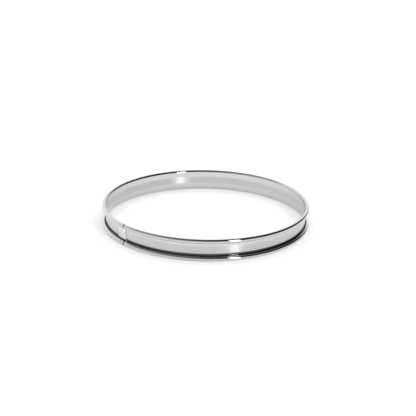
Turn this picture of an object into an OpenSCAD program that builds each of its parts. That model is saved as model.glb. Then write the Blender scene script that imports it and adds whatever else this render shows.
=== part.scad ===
// Tart ring: a bottomless band of thin stainless sheet for baking tarts.
// One strip has both of its long edges rolled outwards into hollow beads. Its two
// ends lap over each other and are spot-welded, and the ends of each bead butt.
// The inside wall is smooth, so that the ring lifts off the pastry.
// The origin is the centre of the ring, on the surface that it stands on.

/* [Ring] */
// Outer diameter over the rolled beads
outer_diameter = 200; // [80:1:320]
// Height over both beads
height = 20.4; // [18:0.1:60]

/* [Sheet and beads] */
// Thickness of the sheet
sheet = 0.5; // [0.3:0.05:0.7]
// Outer diameter of each rolled bead
bead_diameter = 4; // [3:0.1:5]
// Gap between the curled-in edge and the wall
curl_gap = 1.2; // [0.1:0.05:1.5]

/* [Lapped seam] */
// Direction of the seam, anticlockwise from +X seen from above
seam_angle = 222; // [0:1:359]
// Length of the lap along the wall
lap = 12; // [6:0.5:30]
// Length of the bend that steps the outer end out over the tongue
joggle = 2; // [1:0.1:4]
// Height of bare wall between each bead and the stepped part
bead_clearance = 0.3; // [0.1:0.05:1]
// Gap round the edges of the tongue
tongue_gap = 0.2; // [0.1:0.05:0.4]
// Gap between the butted ends of each bead
butt_gap = 0.5; // [0.1:0.05:1]

/* [Spot welds] */
// Number of spot welds across the lap
weld_count = 3; // [1:1:4]
// Diameter of the mark that each weld leaves
weld_diameter = 2.6; // [1.5:0.1:3]
// Depth of the mark on each side of the lap
weld_depth = 0.1; // [0.05:0.01:0.15]

/* [Hidden] */

// Brushed stainless steel
steel_color = [0.80, 0.80, 0.79];
// Straight sides that stand for one turn of the ring, and of a bead
ring_facets = 180;
bead_facets = 32;
// Length by which a cutter passes through a face
overshoot = 1;

// Radii of the strip, measured from the ring's axis
outer_radius = outer_diameter / 2;
bead_radius = bead_diameter / 2;
bead_centre_radius = outer_radius - bead_radius;
inner_radius = outer_radius - bead_diameter;
wall_outer_radius = inner_radius + sheet;
lap_outer_radius = wall_outer_radius + sheet;

// Direction at which the curl ends, seen from the centre of a bead
curl_end_angle = 180 - acos((bead_radius - sheet - curl_gap) / bead_radius);

// Heights at the foot of the lap: where the round of the bead passes below the stepped
// sheet, the start of the step, and the lower edge of the tongue. The head mirrors the foot.
bead_top = bead_radius + sqrt(pow(bead_radius, 2) - pow(bead_radius - 2 * sheet, 2));
step_bottom = bead_top + bead_clearance;
tongue_bottom = step_bottom + sheet + tongue_gap;
tongue_height = height - 2 * tongue_bottom;

// Directions along the wall, measured from the seam and negative over the lap
half_butt_angle = arc_angle(butt_gap) / 2;
tongue_end_angle = -arc_angle(lap);
bend_start_angle = tongue_end_angle - arc_angle(tongue_gap + joggle);
weld_angle = tongue_end_angle / 2;

// Angle that a length along the outer face of the wall spans
function arc_angle(length) = length / wall_outer_radius * 180 / PI;

// Point in plan at a radius and a direction
function polar(radius, angle) = radius * [cos(angle), sin(angle)];

// Solid turned from a section, from one direction to another
module sector(from_angle, to_angle) {
    rotate([0, 0, from_angle])
        rotate_extrude(angle = to_angle - from_angle, $fn = ring_facets)
            children();
}

// Section of the lower bead: the sheet curls down, outwards and back up to the wall
module bead_section() {
    translate([bead_centre_radius, bead_radius])
        difference() {
            circle(r = bead_radius, $fn = bead_facets);
            circle(r = bead_radius - sheet, $fn = bead_facets);
            polygon([
                [0, 0],
                polar(bead_diameter, curl_end_angle),
                [-bead_diameter, bead_diameter],
                [-bead_diameter, 0]
            ]);
        }
}

// Section of the whole strip, with a bead at its foot and one at its head
module strip_section() {
    translate([inner_radius, bead_radius])
        square([sheet, height - bead_diameter]);
    bead_section();
    translate([0, height])
        mirror([0, 1])
            bead_section();
}

// Section of the stepped part, whose sloped edges run on behind the face of the wall
module step_section(face_radius, backing) {
    polygon([
        [face_radius - backing, step_bottom - backing],
        [face_radius + sheet, step_bottom + sheet],
        [face_radius + sheet, height - step_bottom - sheet],
        [face_radius - backing, height - step_bottom + backing]
    ]);
}

// What lies outside the line of the bend, in plan
module outside_of_bend(face_radius) {
    cut_depth = 2 * sheet + overshoot;
    translate(polar(face_radius, bend_start_angle))
        rotate(bend_start_angle + 90 - atan(sheet / joggle))
            translate([-2 * joggle, -cut_depth])
                square([2 * joggle + norm([joggle, sheet]), cut_depth]);
}

// Shallow tray pressed outwards by one sheet thickness from a face of the wall: from
// the outer face it is the metal of the outer end, from the inner face its recess
module stepped_tray(face_radius, backing, end_angle) {
    difference() {
        sector(bend_start_angle - arc_angle(joggle), end_angle)
            step_section(face_radius, backing);
        linear_extrude(height)
            outside_of_bend(face_radius);
    }
}

// Room that the tongue takes up, from its free edge to past the seam
module tongue_space() {
    sector(tongue_end_angle, 2 * half_butt_angle)
        translate([inner_radius - 2 * overshoot, tongue_bottom])
            square([lap_outer_radius - inner_radius + 2 * overshoot, tongue_height]);
}

// Gaps between the two ends of the strip: the recess behind the outer end and the
// slit through the beads, less the tongue of the other end
module seam_gaps() {
    difference() {
        union() {
            stepped_tray(inner_radius, overshoot, 0);
            sector(-half_butt_angle, half_butt_angle)
                translate([inner_radius - overshoot, -overshoot])
                    square([bead_diameter + 2 * overshoot, height + 2 * overshoot]);
        }
        tongue_space();
    }
}

// Round electrode marks on both faces of the lap, in a row from foot to head
module weld_marks() {
    pitch = tongue_height / weld_count;
    for (i = [0 : weld_count - 1], mark_radius = [inner_radius + weld_depth - overshoot,
                                                  lap_outer_radius - weld_depth])
        rotate([0, 0, weld_angle])
            translate([mark_radius, 0, tongue_bottom + (i + 0.5) * pitch])
                rotate([0, 90, 0])
                    cylinder(d = weld_diameter, h = overshoot, $fn = bead_facets);
}

// The formed and welded strip
module ring() {
    color(steel_color)
        rotate([0, 0, seam_angle])
            difference() {
                union() {
                    rotate_extrude($fn = ring_facets) strip_section();
                    stepped_tray(wall_outer_radius, sheet / 2, -half_butt_angle);
                }
                seam_gaps();
                weld_marks();
            }
}

ring();
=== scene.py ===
from math import acos, atan2, cos, hypot, pi, radians, sin, sqrt, tau

import bmesh
import bpy
from bpy.props import (
    FloatProperty,
    FloatVectorProperty,
    IntProperty,
    PointerProperty,
    StringProperty,
)
from mathutils import Matrix, Vector


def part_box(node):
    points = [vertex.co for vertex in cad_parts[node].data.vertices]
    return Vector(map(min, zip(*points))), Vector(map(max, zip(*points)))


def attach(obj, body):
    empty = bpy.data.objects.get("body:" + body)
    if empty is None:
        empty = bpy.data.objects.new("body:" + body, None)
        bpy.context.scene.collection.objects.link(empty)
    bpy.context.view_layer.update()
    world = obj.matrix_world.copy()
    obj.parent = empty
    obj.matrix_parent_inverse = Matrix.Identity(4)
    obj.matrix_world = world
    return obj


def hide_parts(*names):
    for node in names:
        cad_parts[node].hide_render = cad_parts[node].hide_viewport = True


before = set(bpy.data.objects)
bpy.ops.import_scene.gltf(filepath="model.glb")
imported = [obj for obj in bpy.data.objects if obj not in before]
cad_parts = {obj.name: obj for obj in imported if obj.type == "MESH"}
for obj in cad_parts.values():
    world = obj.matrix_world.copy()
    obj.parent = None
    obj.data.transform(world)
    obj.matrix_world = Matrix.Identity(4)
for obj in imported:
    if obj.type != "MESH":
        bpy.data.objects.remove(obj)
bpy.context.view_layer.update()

bl_info = {
    "name": "Tart Ring",
    "version": (1, 0, 0),
    "blender": (4, 5, 0),
    "location": "3D View > Sidebar > Tart Ring",
    "description": "A bottomless tart ring of stainless sheet with a lapped, spot-welded seam",
    "category": "Object",
}

NODE = "ring"
BODY = "root"

# Height and outer diameter over the beads, from the ring's solid. The diameter is twice its
# shortest reach, so that the strip stays inside the solid's box.
LOW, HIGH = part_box(NODE)
OUTER_DIAMETER = 2 * min(HIGH[0], HIGH[1], -LOW[0], -LOW[1])
HEIGHT = HIGH[2] - LOW[2]

MM = 0.001


class StripSizes(bpy.types.PropertyGroup):
    """Sizes of the formed strip"""

    outer_diameter: FloatProperty(
        name="Outer diameter",
        description="Diameter over the rolled beads",
        default=OUTER_DIAMETER,
        min=0.08,
        unit="LENGTH",
    )
    height: FloatProperty(
        name="Height",
        description="Height over both beads",
        default=HEIGHT,
        min=0.018,
        unit="LENGTH",
    )
    sheet: FloatProperty(
        name="Sheet",
        description="Thickness of the sheet",
        default=0.5 * MM,
        min=0.3 * MM,
        max=0.7 * MM,
        unit="LENGTH",
    )
    bead_diameter: FloatProperty(
        name="Bead diameter",
        description="Outer diameter of each rolled bead",
        default=4 * MM,
        min=3 * MM,
        max=5 * MM,
        unit="LENGTH",
    )
    curl_gap: FloatProperty(
        name="Curl gap",
        description="Gap between the curled-in edge and the wall",
        default=1.2 * MM,
        min=0.1 * MM,
        max=1.5 * MM,
        unit="LENGTH",
    )
    seam_angle: FloatProperty(
        name="Seam angle",
        description="Direction of the seam, anticlockwise from +X seen from above",
        default=radians(222),
        unit="ROTATION",
    )
    lap: FloatProperty(
        name="Lap",
        description="Length of the lap along the wall",
        default=12 * MM,
        unit="LENGTH",
    )
    joggle: FloatProperty(
        name="Joggle",
        description="Length of the bend that steps the outer end out over the tongue",
        default=2 * MM,
        unit="LENGTH",
    )
    bead_clearance: FloatProperty(
        name="Bead clearance",
        description="Height of bare wall between each bead and the stepped part",
        default=0.3 * MM,
        unit="LENGTH",
    )
    tongue_gap: FloatProperty(
        name="Tongue gap",
        description="Gap round the edges of the tongue",
        default=0.2 * MM,
        unit="LENGTH",
    )
    butt_gap: FloatProperty(
        name="Butt gap",
        description="Gap between the butted ends of each bead",
        default=0.5 * MM,
        unit="LENGTH",
    )
    weld_count: IntProperty(
        name="Welds",
        description="Number of spot welds across the lap",
        default=3,
        min=1,
        max=4,
    )
    weld_diameter: FloatProperty(
        name="Weld diameter",
        description="Diameter of the mark that each weld leaves",
        default=2.6 * MM,
        unit="LENGTH",
    )
    weld_depth: FloatProperty(
        name="Weld depth",
        description="Depth of the mark on each side of the lap",
        default=0.1 * MM,
        unit="LENGTH",
    )


class SteelFinish(bpy.types.PropertyGroup):
    """Finish of the sheet"""

    color: StringProperty(
        name="Steel colour",
        description="Colour of the bright sheet, as sRGB hex",
        default="D6D5D4",
    )
    dark_color: StringProperty(
        name="Line colour",
        description="Colour of the sheet in the rolling lines, as sRGB hex",
        default="C2C1C0",
    )
    scrubbed_color: StringProperty(
        name="Scrubbed colour",
        description="Colour of the scrubbed blotches on the lap, as sRGB hex",
        default="E9E8E7",
    )
    # Painted shade: this dark colour is painted into the groove above the lower bead and at the
    # butted ends of the beads
    painted_shade_color: StringProperty(
        name="Residue colour",
        description="Colour of the polishing residue in the grooves, as sRGB hex",
        default="484746",
    )
    roughness: FloatProperty(
        name="Wall roughness",
        description="Mean roughness of the brushed wall",
        default=0.28,
        min=0,
        max=1,
    )
    bead_roughness: FloatProperty(
        name="Bead roughness",
        description="Mean roughness of the beads, which the rolls burnish",
        default=0.08,
        min=0,
        max=1,
    )
    anisotropy: FloatProperty(
        name="Anisotropy",
        description="How much more the rolling lines spread light across than along them",
        default=0.95,
        min=0,
        max=1,
    )
    line_spacing: FloatProperty(
        name="Rolling line spacing",
        description="Distance between the rolling lines as drawn",
        default=0.4 * MM,
        unit="LENGTH",
    )


class StageLooks(bpy.types.PropertyGroup):
    """Floor, light and camera"""

    floor_color: StringProperty(
        name="Floor colour",
        description="Colour of the floor, as sRGB hex",
        default="F6F6F6",
    )
    floor_glow: FloatProperty(
        name="Floor glow",
        description="Share of plain white that the camera and reflections see in the floor",
        default=0.2,
        min=0,
        max=1,
    )
    even_level: FloatProperty(
        name="Even light",
        description="Brightness of the studio as it lights matt surfaces",
        default=1.0,
        min=0,
    )
    soft_level: FloatProperty(
        name="Soft light",
        description="Brightness of the broad light high behind the ring",
        default=1.15,
        min=0,
    )
    key_energy: FloatProperty(
        name="Key light",
        description="Power of the tall strip light at the front right",
        default=7.0,
        min=0,
        unit="POWER",
    )
    elevation: FloatProperty(
        name="Camera elevation",
        description="Angle of the camera above the horizon",
        default=radians(20.44),
        unit="ROTATION",
    )
    distance: FloatProperty(
        name="Camera distance",
        description="Distance from the camera to the middle of the ring",
        default=943.2 * MM,
        unit="LENGTH",
    )
    lens: FloatProperty(
        name="Lens",
        description="Focal length in millimetres, on a 36 mm wide sensor",
        default=84.13,
        unit="NONE",
    )
    roll: FloatProperty(
        name="Camera roll",
        description="Turn of the camera about its line of sight",
        default=radians(1.061),
        unit="ROTATION",
    )
    shift: FloatVectorProperty(
        name="Camera shift",
        description="Place of the ring's middle in pixels, right of and above the picture's",
        size=2,
        default=(2.358, 3.282),
    )


class StripPlan:
    """Places on the strip, worked out from its sizes, with its right-hand end at +X"""

    def __init__(self, sizes):
        self.sheet = sizes.sheet
        self.height = sizes.height
        self.bead_radius = sizes.bead_diameter / 2
        self.bead_centre = sizes.outer_diameter / 2 - self.bead_radius
        self.inner_radius = sizes.outer_diameter / 2 - sizes.bead_diameter
        self.wall_outer = self.inner_radius + sizes.sheet
        curl_reach = self.bead_radius - sizes.sheet - sizes.curl_gap
        self.curl_end = pi - acos(curl_reach / self.bead_radius)
        lap_reach = self.bead_radius - 2 * sizes.sheet
        bead_top = self.bead_radius + sqrt(self.bead_radius**2 - lap_reach**2)
        self.step_bottom = bead_top + sizes.bead_clearance
        self.tongue_bottom = self.step_bottom + sizes.sheet + sizes.tongue_gap
        self.bead_length = (self.curl_end + pi) * self.bead_radius
        self.width = 2 * self.bead_length + sizes.height - 2 * self.bead_radius
        # Directions: the slit between the butted ends lies just short of a full turn
        self.half_butt = self.span(sizes.butt_gap) / 2
        self.lap_end = tau - 2 * self.half_butt
        self.tongue_end = tau - self.half_butt - self.span(sizes.lap)
        self.bend_end = self.tongue_end - self.span(sizes.tongue_gap)
        self.bend_start = self.bend_end - self.span(sizes.joggle)

    def span(self, length):
        """Angle that a length along the outer face of the wall spans"""
        return length / self.wall_outer

    def across(self, co):
        """Distance across the flat strip, from the foot's curled edge, of a point on its face"""
        upper = co.z > self.height / 2
        z = self.height - co.z if upper else co.z
        if z >= self.bead_radius and hypot(co.x, co.y) < self.wall_outer + self.sheet:
            distance = self.bead_length + z - self.bead_radius
        else:
            turn = atan2(z - self.bead_radius, hypot(co.x, co.y) - self.bead_centre)
            turned = self.curl_end - turn
            distance = (turned % tau) * self.bead_radius
        return self.width - distance if upper else distance


def linear(hex_color):
    """Linear RGBA of an sRGB hex colour"""
    channels = [int(hex_color[i:i + 2], 16) / 255 for i in (0, 2, 4)]
    return [c / 12.92 if c <= 0.04045 else ((c + 0.055) / 1.055)**2.4 for c in channels] + [1]


def add_node(tree, kind, inputs=None, **settings):
    """Adds a node with its settings. An input takes a value, or the output that is linked to it"""
    node = tree.nodes.new(kind)
    for name, value in settings.items():
        setattr(node, name, value)
    for socket, source in (inputs or {}).items():
        if isinstance(source, bpy.types.NodeSocket):
            tree.links.new(source, node.inputs[socket])
        else:
            node.inputs[socket].default_value = source
    return node


def turn_of(co):
    """Direction of a point round the ring's axis, from 0 to a full turn"""
    return atan2(co.y, co.x) % tau


def pick(piece, wanted):
    """In edit mode, selects the vertices whose place is wanted, and nothing else"""
    bpy.ops.mesh.select_all(action="DESELECT")
    mesh = bmesh.from_edit_mesh(piece.data)
    for vertex in mesh.verts:
        vertex.select = wanted(vertex.co)
    mesh.select_flush_mode()
    bmesh.update_edit_mesh(piece.data)


def apply_modifier(piece, kind, **settings):
    """Adds a modifier with its settings and applies it"""
    modifier = piece.modifiers.new(kind.title(), kind)
    for name, value in settings.items():
        setattr(modifier, name, value)
    bpy.context.view_layer.objects.active = piece
    bpy.ops.object.modifier_apply(modifier=modifier.name)


# Distance within which two places are the same
TINY = 0.01 * MM

# Length of a cutter that presses a weld mark, and rounding of the sheet's cut edges
MARK_LENGTH = 1 * MM
EDGE_ROUNDING = 0.06 * MM
# Least turn between faces at which an edge is a cut edge, and at which it stays sharp to the eye
CUT_ANGLE = radians(50)
SHARP_ANGLE = radians(35)

# Length of a rolling line
LINE_LENGTH = 60 * MM
# How far the rolling lines change the roughness, up and down
ROUGHNESS_SPREAD = 0.04
# Turn of the highlights from along the rolling lines to across them
QUARTER_TURN = 0.25
# Heights above the middle of a bead between which the brushed wall passes into burnished sheet
BRUSHED_FOOT = 6 * MM
BURNISHED_TOP = 3 * MM
# Size of the scrubbed blotches on the lap, the length over which they fade in along it, and the
# levels of their noise between which a blotch starts
BLOTCH_SIZE = 1.6 * MM
LAP_FADE = 2 * MM
BLOTCH_EDGE = (0.35, 0.6)
# Heights above the middle of the lower bead at which the painted shade in the groove starts, is
# full, is still full and ends, from the top down
GROOVE_TOP = 4.9 * MM
GROOVE_FOOT = 3.7 * MM
GROOVE_LOW = 2.9 * MM
GROOVE_END = 2.2 * MM
# How much less of the groove shows below the lap
LAP_COVER = 0.9 * MM
# How far the painted shade at the butted ends reaches along the beads
BUTT_SHADE_REACH = 0.5 * MM

# Side of the floor in metres, which keeps its edge out of sight in low views
FLOOR_SIZE = 40
PAPER_ROUGHNESS = 0.9
# Width of the camera's sensor in millimetres, and of the picture in pixels
SENSOR_WIDTH = 36
PICTURE_WIDTH = 416

# The room is dark above a plane that slopes down to the right: its axis, and its edge along it
ROOM_UP = (0.24, 0.13, 1)
ROOM_EDGE = (0.26, 0.46)
# The broad soft light behind the ring: its middle, its reach to both sides and its top
SOFT_AZIMUTH = radians(108)
SOFT_SIDES = (radians(36), radians(58))
SOFT_TOP = (radians(42), radians(52))
# Brightness near the horizon and above it: how it changes towards +X and +Y, and its middle
LOW_LEVEL = ((-0.12, 0.2, 0), 0.75)
HIGH_LEVEL = ((-0.3, 0.15, 0), 0.12)
UNLIT_LEVEL = 0.02
# How the light on matt surfaces changes towards +Y: more of it comes from behind the ring
EVEN_SLOPE = (0, 0.5, 0)
# Heights above the horizon, as sines, between which its white ends
HORIZON_EDGE = (sin(radians(1.5)), sin(radians(3)))
# The strip light at the front right: its direction, and its distance and sides in metres
KEY_AZIMUTH = radians(302)
KEY_ELEVATION = radians(22)
KEY_DISTANCE = 1.6
KEY_WIDTH = 0.25
KEY_HEIGHT = 1.1

# Kinds of node that come up often
MATH = "ShaderNodeMath"
VECTOR_MATH = "ShaderNodeVectorMath"
MAP_RANGE = "ShaderNodeMapRange"
MIX = "ShaderNodeMix"
NOISE = "ShaderNodeTexNoise"
SEPARATE = "ShaderNodeSeparateXYZ"
# Sockets of a Mix node: its share, its two numbers, its two colours and the mixed colour
SHARE = 0
FIRST_NUMBER, SECOND_NUMBER = 2, 3
FIRST_COLOR, SECOND_COLOR = 6, 7
MIXED_COLOR = 2
# A range that falls from 1 to 0
FALLING = {"To Min": 1, "To Max": 0}

# Straight sides that stand for one turn of the ring, and of a bead
RING_STEPS = 360
BEAD_STEPS = 48
# Rows of vertices over the sloped edge of the stepped part, and columns over its bend
SLOPE_STEPS = 4
BEND_STEPS = 6
LAP_STEPS = 12


def add_section(plan):
    """Section of the lower half of the strip: the curl and half the wall, in the XZ plane"""
    bpy.ops.object.select_all(action="DESELECT")
    bpy.ops.mesh.primitive_circle_add(
        vertices=BEAD_STEPS,
        radius=plan.bead_radius,
        location=(plan.bead_centre, 0, plan.bead_radius),
        rotation=(pi / 2, 0, 0),
    )
    strip = bpy.context.object
    bpy.ops.object.transform_apply(location=True, rotation=True, scale=True)
    bpy.ops.object.mode_set(mode="EDIT")
    bpy.ops.mesh.select_mode(type="VERT")

    def bead_turn(co):
        return atan2(co.z - plan.bead_radius, co.x - plan.bead_centre)

    # The curl is open from its end up to where the wall starts
    slack = pi / BEAD_STEPS / 2
    pick(strip, lambda co: plan.curl_end - slack < bead_turn(co) < pi - slack)
    bpy.ops.mesh.delete(type="VERT")
    last = floor_to(plan.curl_end - slack, tau / BEAD_STEPS)
    pick(strip, lambda co: abs(bead_turn(co) - last) < slack)
    reach = Vector((cos(plan.curl_end) - cos(last), 0, sin(plan.curl_end) - sin(last)))
    bpy.ops.mesh.extrude_region_move(TRANSFORM_OT_translate={"value": reach * plan.bead_radius})

    # The wall rises from the bead, with a row wherever the stepped part or the tongue has an edge
    slope = [plan.step_bottom + plan.sheet * i / SLOPE_STEPS for i in range(SLOPE_STEPS + 1)]
    rows = [plan.bead_radius + plan.sheet / 2, plan.bead_radius + 2 * plan.sheet]
    rows += slope + [plan.tongue_bottom]
    rest = plan.height / 2 - plan.tongue_bottom
    rows += [plan.tongue_bottom + rest * share for share in (0.5, 1)]
    pick(strip, lambda co: abs(co.x - plan.inner_radius) < TINY)
    below = plan.bead_radius
    for row in rows:
        bpy.ops.mesh.extrude_region_move(TRANSFORM_OT_translate={"value": (0, 0, row - below)})
        below = row
    return strip


def floor_to(value, step):
    """The largest multiple of a step that is not above a value"""
    return value // step * step


def mirror_section(plan):
    """Adds the upper half of the section as the mirror image of the lower half"""
    bpy.ops.mesh.select_all(action="SELECT")
    bpy.ops.mesh.duplicate()
    bpy.ops.transform.resize(value=(1, 1, -1), center_override=(0, 0, plan.height / 2))
    bpy.ops.mesh.select_all(action="SELECT")
    bpy.ops.mesh.remove_doubles(threshold=TINY)


def spin_strip(plan):
    """Sweeps the section anticlockwise from the right-hand end to the left-hand end"""
    bpy.ops.mesh.select_all(action="SELECT")
    start = 0
    for stop, steps in (
        (plan.bend_start, RING_STEPS),
        (plan.bend_end, BEND_STEPS),
        (plan.lap_end, LAP_STEPS),
    ):
        # A positive angle spins clockwise
        bpy.ops.mesh.spin(steps=steps, angle=start - stop, center=(0, 0, 0), axis=(0, 0, 1))
        start = stop


def smooth_share(value):
    """Smooth rise from 0 to 1"""
    value = min(max(value, 0), 1)
    return value * value * (3 - 2 * value)


def step_out(strip, plan):
    """Steps the left-hand end out over the tongue, between the beads"""
    shares = {}

    def share(co):
        up = (min(co.z, plan.height - co.z) - plan.step_bottom) / plan.sheet
        turn = turn_of(co)
        along = (turn - plan.bend_start) / (plan.bend_end - plan.bend_start)
        on_wall = abs(hypot(co.x, co.y) - plan.inner_radius) < TINY
        # The right-hand end can read as a full turn
        before_slit = turn < plan.lap_end + plan.half_butt
        return round(smooth_share(up) * smooth_share(along), 4) if on_wall and before_slit else 0

    mesh = bmesh.from_edit_mesh(strip.data)
    for vertex in mesh.verts:
        shares.setdefault(share(vertex.co), []).append(vertex.index)
    shares.pop(0, None)
    for amount, indices in shares.items():
        bpy.ops.mesh.select_all(action="DESELECT")
        mesh = bmesh.from_edit_mesh(strip.data)
        mesh.verts.ensure_lookup_table()
        for index in indices:
            mesh.verts[index].select = True
        mesh.select_flush_mode()
        bmesh.update_edit_mesh(strip.data)
        grow = 1 + amount * (plan.sheet + TINY) / plan.inner_radius
        bpy.ops.transform.resize(value=(grow, grow, 1), center_override=(0, 0, 0))


def extend_tongue(strip, plan):
    """Draws the tongue out of the right-hand end, to lie behind the left-hand one"""
    def at_root(co):
        on_wall = abs(hypot(co.x, co.y) - plan.inner_radius) < TINY
        at_end = abs(co.y) < TINY and co.x > 0
        inside = plan.tongue_bottom - TINY < co.z < plan.height - plan.tongue_bottom + TINY
        return on_wall and at_end and inside

    pick(strip, at_root)
    # A positive angle spins clockwise, away from the rest of the strip
    length = tau - plan.tongue_end
    bpy.ops.mesh.spin(steps=LAP_STEPS, angle=length, center=(0, 0, 0), axis=(0, 0, 1))


def unroll(strip, plan):
    """Gives the strip a UV map in metres: U along it from the right-hand end, V across it"""
    mesh = strip.data
    layer = mesh.uv_layers.new(name="strip")
    for face in mesh.polygons:
        middle = turn_of(face.center)
        radius = hypot(face.center.x, face.center.y)
        behind = middle > plan.tongue_end and abs(radius - plan.inner_radius) < plan.sheet / 4
        in_tongue = behind and plan.tongue_bottom < face.center.z < plan.height - plan.tongue_bottom
        for loop in face.loop_indices:
            co = mesh.vertices[mesh.loops[loop].vertex_index].co
            turn = middle + (turn_of(co) - middle + pi) % tau - pi
            length = (turn - tau if in_tongue else turn) * plan.inner_radius
            layer.data[loop].uv = (length, plan.across(co))


def cut_weld_marks(strip, plan, sizes):
    """Presses the electrode marks into both faces of the lap"""
    pitch = (plan.height - 2 * plan.tongue_bottom) / sizes.weld_count
    middle = (plan.tongue_end + tau - plan.half_butt) / 2
    faces = (
        plan.inner_radius + sizes.weld_depth - MARK_LENGTH / 2,
        plan.wall_outer + plan.sheet - sizes.weld_depth + MARK_LENGTH / 2,
    )
    bpy.ops.object.select_all(action="DESELECT")
    marks = []
    for i in range(sizes.weld_count):
        for radius in faces:
            height = plan.tongue_bottom + (i + 0.5) * pitch
            bpy.ops.mesh.primitive_cylinder_add(
                vertices=BEAD_STEPS,
                radius=sizes.weld_diameter / 2,
                depth=MARK_LENGTH,
                location=(radius * cos(middle), radius * sin(middle), height),
                rotation=(0, pi / 2, middle),
            )
            marks.append(bpy.context.object)
    for mark in marks:
        mark.select_set(True)
    bpy.ops.object.join()
    cutter = bpy.context.object
    bpy.ops.object.transform_apply(location=True, rotation=True, scale=True)
    unroll(cutter, plan)
    apply_modifier(strip, "BOOLEAN", operation="DIFFERENCE", object=cutter, solver="EXACT")
    bpy.data.objects.remove(cutter)


def steel_material(finish, plan):
    """Bright cold-rolled stainless sheet: fine rolling lines run round the ring, so that light
    smears up and down across them and stays sharp along them"""
    material = bpy.data.materials.new("rolled_stainless")
    material.use_nodes = True
    tree = material.node_tree
    steel = tree.nodes["Principled BSDF"]
    steel.inputs["Metallic"].default_value = 1
    steel.inputs["Anisotropic"].default_value = finish.anisotropy
    steel.inputs["Anisotropic Rotation"].default_value = QUARTER_TURN
    tangent = add_node(tree, "ShaderNodeTangent", direction_type="RADIAL", axis="Z")
    tree.links.new(tangent.outputs["Tangent"], steel.inputs["Tangent"])

    # Real rolling lines are too fine to show in the picture, so these are drawn coarser
    place = add_node(tree, "ShaderNodeUVMap", uv_map="strip").outputs["UV"]
    stretched = add_node(
        tree,
        "ShaderNodeMapping",
        {"Vector": place, "Scale": (1 / LINE_LENGTH, 1 / finish.line_spacing, 1)},
    )
    lines = add_node(
        tree,
        NOISE,
        {"Vector": stretched.outputs["Vector"], "Scale": 1, "Detail": 3, "Roughness": 0.6},
    ).outputs["Fac"]
    color = add_node(
        tree,
        MIX,
        {SHARE: lines, FIRST_COLOR: linear(finish.dark_color), SECOND_COLOR: linear(finish.color)},
        data_type="RGBA",
    ).outputs[MIXED_COLOR]

    # The beads lie near both edges of the strip: the distance from its middle tells where
    spot = add_node(tree, SEPARATE, {0: place})
    along = spot.outputs["X"]
    half_wall = plan.height / 2 - plan.bead_radius
    off_middle = add_node(
        tree, MATH, {0: spot.outputs["Y"], 1: plan.width / 2}, operation="SUBTRACT"
    ).outputs[0]
    distance = add_node(tree, MATH, {0: off_middle}, operation="ABSOLUTE").outputs[0]
    on_bead = add_node(
        tree,
        MAP_RANGE,
        {"Value": distance, "From Min": half_wall - TINY, "From Max": half_wall},
        interpolation_type="SMOOTHSTEP",
    ).outputs[0]

    # The lap is scrubbed bright round its welds
    lap_start = plan.bend_end * plan.inner_radius
    lap = add_node(
        tree,
        MAP_RANGE,
        {"Value": along, "From Min": lap_start, "From Max": lap_start + LAP_FADE},
        interpolation_type="SMOOTHSTEP",
    ).outputs[0]
    on_wall = add_node(tree, MATH, {0: 1, 1: on_bead}, operation="SUBTRACT").outputs[0]
    lap_wall = add_node(tree, MATH, {0: lap, 1: on_wall}, operation="MULTIPLY").outputs[0]
    clouds = add_node(
        tree, NOISE, {"Vector": place, "Scale": 1 / BLOTCH_SIZE, "Detail": 2, "Roughness": 0.6}
    ).outputs["Fac"]
    blotches = add_node(
        tree,
        MAP_RANGE,
        {"Value": clouds, "From Min": BLOTCH_EDGE[0], "From Max": BLOTCH_EDGE[1]},
        interpolation_type="SMOOTHSTEP",
    ).outputs[0]
    scrubbed = add_node(tree, MATH, {0: lap_wall, 1: blotches}, operation="MULTIPLY").outputs[0]

    # Painted shade: a dark colour in the groove above the lower bead stands in for the shade and
    # the dark reflection there, and the stepped sheet of the lap covers part of the groove
    raised = add_node(
        tree, MATH, {0: lap, 1: LAP_COVER, 2: off_middle}, operation="MULTIPLY_ADD"
    ).outputs[0]
    under_top = add_node(
        tree,
        MAP_RANGE,
        {
            "Value": raised,
            "From Min": GROOVE_FOOT - half_wall,
            "From Max": GROOVE_TOP - half_wall,
            **FALLING,
        },
        interpolation_type="SMOOTHSTEP",
    ).outputs[0]
    over_end = add_node(
        tree,
        MAP_RANGE,
        {"Value": raised, "From Min": GROOVE_END - half_wall, "From Max": GROOVE_LOW - half_wall},
        interpolation_type="SMOOTHSTEP",
    ).outputs[0]
    groove = add_node(tree, MATH, {0: under_top, 1: over_end}, operation="MULTIPLY").outputs[0]
    # Only the outer face has it, where the surface looks away from the ring's middle
    point = add_node(tree, "ShaderNodeTexCoord")
    away = add_node(
        tree,
        VECTOR_MATH,
        {0: point.outputs["Object"], 1: point.outputs["Normal"]},
        operation="DOT_PRODUCT",
    ).outputs["Value"]
    outer = add_node(
        tree,
        MAP_RANGE,
        {"Value": away, "From Min": 0, "From Max": MM},
        interpolation_type="SMOOTHSTEP",
    ).outputs[0]
    groove_shade = add_node(tree, MATH, {0: groove, 1: outer}, operation="MULTIPLY").outputs[0]

    # The painted shade also lines the butted ends of the beads, where their gap is in shade
    end = plan.lap_end * plan.inner_radius
    near_left_end = add_node(
        tree,
        MAP_RANGE,
        {"Value": along, "From Min": end - BUTT_SHADE_REACH, "From Max": end - BUTT_SHADE_REACH / 2},
        interpolation_type="SMOOTHSTEP",
    ).outputs[0]
    near_right_end = add_node(
        tree,
        MAP_RANGE,
        {"Value": along, "From Min": BUTT_SHADE_REACH / 2, "From Max": BUTT_SHADE_REACH, **FALLING},
        interpolation_type="SMOOTHSTEP",
    ).outputs[0]
    near_end = add_node(
        tree, MATH, {0: near_left_end, 1: near_right_end}, operation="MAXIMUM"
    ).outputs[0]
    butt_shade = add_node(tree, MATH, {0: near_end, 1: on_bead}, operation="MULTIPLY").outputs[0]
    painted_shade = add_node(tree, MATH, {0: groove_shade, 1: butt_shade}, operation="MAXIMUM").outputs[0]

    # The lap's scrubbed blotches, then the painted shade in the groove and at the butted ends
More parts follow.
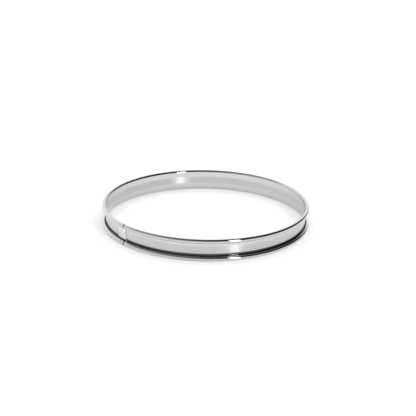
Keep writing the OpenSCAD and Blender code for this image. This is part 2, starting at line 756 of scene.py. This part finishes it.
    for share, mark in ((scrubbed, finish.scrubbed_color), (painted_shade, finish.painted_shade_color)):
        color = add_node(
            tree,
            MIX,
            {SHARE: share, FIRST_COLOR: color, SECOND_COLOR: linear(mark)},
            data_type="RGBA",
        ).outputs[MIXED_COLOR]
    tree.links.new(color, steel.inputs["Base Color"])

    # The rolls burnish the beads and the wall beside them
    burnished = add_node(
        tree,
        MAP_RANGE,
        {
            "Value": distance,
            "From Min": half_wall - BRUSHED_FOOT,
            "From Max": half_wall - BURNISHED_TOP,
        },
        interpolation_type="SMOOTHSTEP",
    ).outputs[0]
    uneven = add_node(
        tree,
        MAP_RANGE,
        {
            "Value": lines,
            "To Min": finish.roughness - ROUGHNESS_SPREAD,
            "To Max": finish.roughness + ROUGHNESS_SPREAD,
        },
    ).outputs[0]
    rough = add_node(
        tree,
        MATH,
        {0: burnished, 1: finish.bead_roughness - finish.roughness, 2: uneven},
        operation="MULTIPLY_ADD",
    ).outputs[0]
    tree.links.new(rough, steel.inputs["Roughness"])
    return material


class TARTRING_OT_strip(bpy.types.Operator):
    """Rolls, laps and welds the strip of sheet that is the whole ring"""

    bl_idname = "tart_ring.strip"
    bl_label = "Make the Ring"

    def execute(self, context):
        sizes = context.scene.tart_ring_sizes
        plan = StripPlan(sizes)
        strip = add_section(plan)
        mirror_section(plan)
        spin_strip(plan)
        step_out(strip, plan)
        extend_tongue(strip, plan)
        bpy.ops.mesh.select_all(action="SELECT")
        bpy.ops.mesh.remove_doubles(threshold=TINY / 10)
        bpy.ops.mesh.normals_make_consistent(inside=False)
        bpy.ops.object.mode_set(mode="OBJECT")
        unroll(strip, plan)
        apply_modifier(strip, "SOLIDIFY", thickness=sizes.sheet, offset=-1, use_even_offset=True)
        cut_weld_marks(strip, plan, sizes)
        apply_modifier(
            strip,
            "BEVEL",
            width=EDGE_ROUNDING,
            segments=2,
            limit_method="ANGLE",
            angle_limit=CUT_ANGLE,
        )
        bpy.ops.object.select_all(action="DESELECT")
        strip.select_set(True)
        context.view_layer.objects.active = strip
        strip.rotation_euler.z = sizes.seam_angle + plan.half_butt
        strip.location.z = LOW[2]
        bpy.ops.object.transform_apply(location=True, rotation=True, scale=True)
        bpy.ops.object.shade_smooth_by_angle(angle=SHARP_ANGLE)
        strip.name = "rolled_strip"
        strip.data.materials.append(steel_material(context.scene.tart_ring_finish, plan))
        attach(strip, BODY)
        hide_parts(NODE)
        return {"FINISHED"}


def add_floor(looks):
    """White paper, matt, so that the ring's shadow shows on it and no highlight does"""
    bpy.ops.object.select_all(action="DESELECT")
    bpy.ops.mesh.primitive_plane_add(size=FLOOR_SIZE)
    floor = bpy.context.object
    floor.name = "floor"
    material = bpy.data.materials.new("matt_white_paper")
    material.use_nodes = True
    tree = material.node_tree
    paper = tree.nodes["Principled BSDF"]
    paper.inputs["Base Color"].default_value = linear(looks.floor_color)
    paper.inputs["Roughness"].default_value = PAPER_ROUGHNESS
    paper.inputs["Specular IOR Level"].default_value = 0
    paper.inputs["Emission Color"].default_value = (1, 1, 1, 1)
    glow = add_node(
        tree, MATH, {0: seen_as_background(tree), 1: looks.floor_glow}, operation="MULTIPLY"
    ).outputs[0]
    tree.links.new(glow, paper.inputs["Emission Strength"])
    floor.data.materials.append(material)


def seen_as_background(tree):
    """1 for what the camera, a reflection or a transmission sees, 0 for the light on the object"""
    path = add_node(tree, "ShaderNodeLightPath")
    seen = path.outputs["Is Camera Ray"]
    for ray in ("Is Glossy Ray", "Is Transmission Ray"):
        seen = add_node(tree, MATH, {0: seen, 1: path.outputs[ray]}, operation="MAXIMUM").outputs[0]
    return seen


def level_across(tree, direction, slope, middle):
    """Brightness that changes steadily across the room, and never falls below the unlit one"""
    change = add_node(
        tree, VECTOR_MATH, {0: direction, 1: slope}, operation="DOT_PRODUCT"
    ).outputs["Value"]
    level = add_node(tree, MATH, {0: change, 1: middle}, operation="ADD").outputs[0]
    return add_node(tree, MATH, {0: level, 1: UNLIT_LEVEL}, operation="MAXIMUM").outputs[0]


def add_studio(looks):
    """Dark room above a pale horizon, with a broad soft light high behind the ring"""
    world = bpy.data.worlds.new("studio")
    bpy.context.scene.world = world
    world.use_nodes = True
    tree = world.node_tree
    background = tree.nodes["Background"]
    background.inputs["Color"].default_value = (1, 1, 1, 1)
    direction = add_node(tree, "ShaderNodeTexCoord").outputs["Generated"]

    # The pale and the dark part of the room
    up = add_node(
        tree, VECTOR_MATH, {0: direction, 1: ROOM_UP}, operation="DOT_PRODUCT"
    ).outputs["Value"]
    shown = []
    for change, edge in ((LOW_LEVEL, FALLING), (HIGH_LEVEL, {})):
        inside = add_node(
            tree,
            MAP_RANGE,
            {"Value": up, "From Min": ROOM_EDGE[0], "From Max": ROOM_EDGE[1], **edge},
            interpolation_type="SMOOTHSTEP",
        ).outputs[0]
        level = level_across(tree, direction, *change)
        shown.append(add_node(tree, MATH, {0: inside, 1: level}, operation="MULTIPLY").outputs[0])

    # The soft light, in directions turned so that its middle lies over +X
    turned = add_node(
        tree, "ShaderNodeMapping", {"Vector": direction, "Rotation": (0, 0, -SOFT_AZIMUTH)}
    ).outputs["Vector"]
    parts = add_node(tree, SEPARATE, {0: turned}).outputs
    turn = add_node(tree, MATH, {0: parts["Y"], 1: parts["X"]}, operation="ARCTAN2").outputs[0]
    aside = add_node(tree, MATH, {0: turn}, operation="ABSOLUTE").outputs[0]
    rise = add_node(tree, MATH, {0: parts["Z"]}, operation="ARCSINE").outputs[0]
    soft = looks.soft_level
    for angle, (start, stop) in ((aside, SOFT_SIDES), (rise, SOFT_TOP)):
        inside = add_node(
            tree,
            MAP_RANGE,
            {"Value": angle, "From Min": start, "From Max": stop, **FALLING},
            interpolation_type="SMOOTHSTEP",
        ).outputs[0]
        soft = add_node(tree, MATH, {0: inside, 1: soft}, operation="MULTIPLY").outputs[0]
    shown.append(soft)

    # The horizon is as white as the floor that ends there
    horizon = add_node(
        tree,
        MAP_RANGE,
        {
            "Value": parts["Z"],
            "From Min": HORIZON_EDGE[0],
            "From Max": HORIZON_EDGE[1],
            **FALLING,
        },
        interpolation_type="SMOOTHSTEP",
    ).outputs[0]
    for level in shown:
        horizon = add_node(tree, MATH, {0: horizon, 1: level}, operation="MAXIMUM").outputs[0]

    # Steel and camera see the studio as it is, and plain light falls on matt surfaces
    strength = add_node(
        tree,
        MIX,
        {
            SHARE: seen_as_background(tree),
            FIRST_NUMBER: level_across(tree, direction, EVEN_SLOPE, looks.even_level),
            SECOND_NUMBER: horizon,
        },
    ).outputs[0]
    tree.links.new(strength, background.inputs["Strength"])


def add_key_light(looks):
    """Tall strip light at the front right"""
    away = Vector((
        cos(KEY_AZIMUTH) * cos(KEY_ELEVATION),
        sin(KEY_AZIMUTH) * cos(KEY_ELEVATION),
        sin(KEY_ELEVATION),
    ))
    data = bpy.data.lights.new("key", "AREA")
    data.shape = "RECTANGLE"
    data.size = KEY_WIDTH
    data.size_y = KEY_HEIGHT
    data.energy = looks.key_energy
    key = bpy.data.objects.new("key", data)
    bpy.context.collection.objects.link(key)
    facing = away.to_track_quat("Z", "Y").to_matrix().to_4x4()
    key.matrix_world = Matrix.Translation(away * KEY_DISTANCE) @ facing


def add_camera(looks):
    """Camera at the photograph's view"""
    data = bpy.data.cameras.new("camera")
    data.sensor_width = SENSOR_WIDTH
    data.lens = looks.lens
    data.shift_x, data.shift_y = (pixels / PICTURE_WIDTH for pixels in looks.shift)
    camera = bpy.data.objects.new("camera", data)
    bpy.context.collection.objects.link(camera)
    back = Vector((0, -cos(looks.elevation), sin(looks.elevation)))
    aim = Vector((0, 0, HEIGHT / 2))
    camera.matrix_world = (
        Matrix.Translation(aim + back * looks.distance)
        @ back.to_track_quat("Z", "Y").to_matrix().to_4x4()
        @ Matrix.Rotation(looks.roll, 4, "Z")
    )
    bpy.context.scene.camera = camera


class TARTRING_OT_stage(bpy.types.Operator):
    """Lays the floor, lights the ring and sets the camera"""

    bl_idname = "tart_ring.stage"
    bl_label = "Make the Stage"

    def execute(self, context):
        looks = context.scene.tart_ring_stage
        add_floor(looks)
        add_studio(looks)
        add_key_light(looks)
        add_camera(looks)
        context.scene.view_settings.view_transform = "Standard"
        return {"FINISHED"}


class TARTRING_PT_panel(bpy.types.Panel):
    """The ring's sizes and finish, and what makes it"""

    bl_idname = "TARTRING_PT_panel"
    bl_label = "Tart Ring"
    bl_space_type = "VIEW_3D"
    bl_region_type = "UI"
    bl_category = "Tart Ring"

    def draw(self, context):
        for name in PROPERTY_GROUPS:
            group = getattr(context.scene, name)
            box = self.layout.box()
            for key in group.__annotations__:
                box.prop(group, key)
        for operator in OPERATORS:
            self.layout.operator(operator.bl_idname)


OPERATORS = (TARTRING_OT_strip, TARTRING_OT_stage)
PROPERTY_GROUPS = {
    "tart_ring_sizes": StripSizes,
    "tart_ring_finish": SteelFinish,
    "tart_ring_stage": StageLooks,
}


def register():
    for group in PROPERTY_GROUPS.values():
        bpy.utils.register_class(group)
    for tool in (*OPERATORS, TARTRING_PT_panel):
        bpy.utils.register_class(tool)
    for name, group in PROPERTY_GROUPS.items():
        setattr(bpy.types.Scene, name, PointerProperty(type=group))


def unregister():
    for name in PROPERTY_GROUPS:
        delattr(bpy.types.Scene, name)
    for tool in (*OPERATORS, TARTRING_PT_panel, *PROPERTY_GROUPS.values()):
        bpy.utils.unregister_class(tool)


def main():
    """Registers the tools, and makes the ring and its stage"""
    register()
    bpy.ops.tart_ring.strip()
    bpy.ops.tart_ring.stage()


if __name__ == "__main__":
    main()
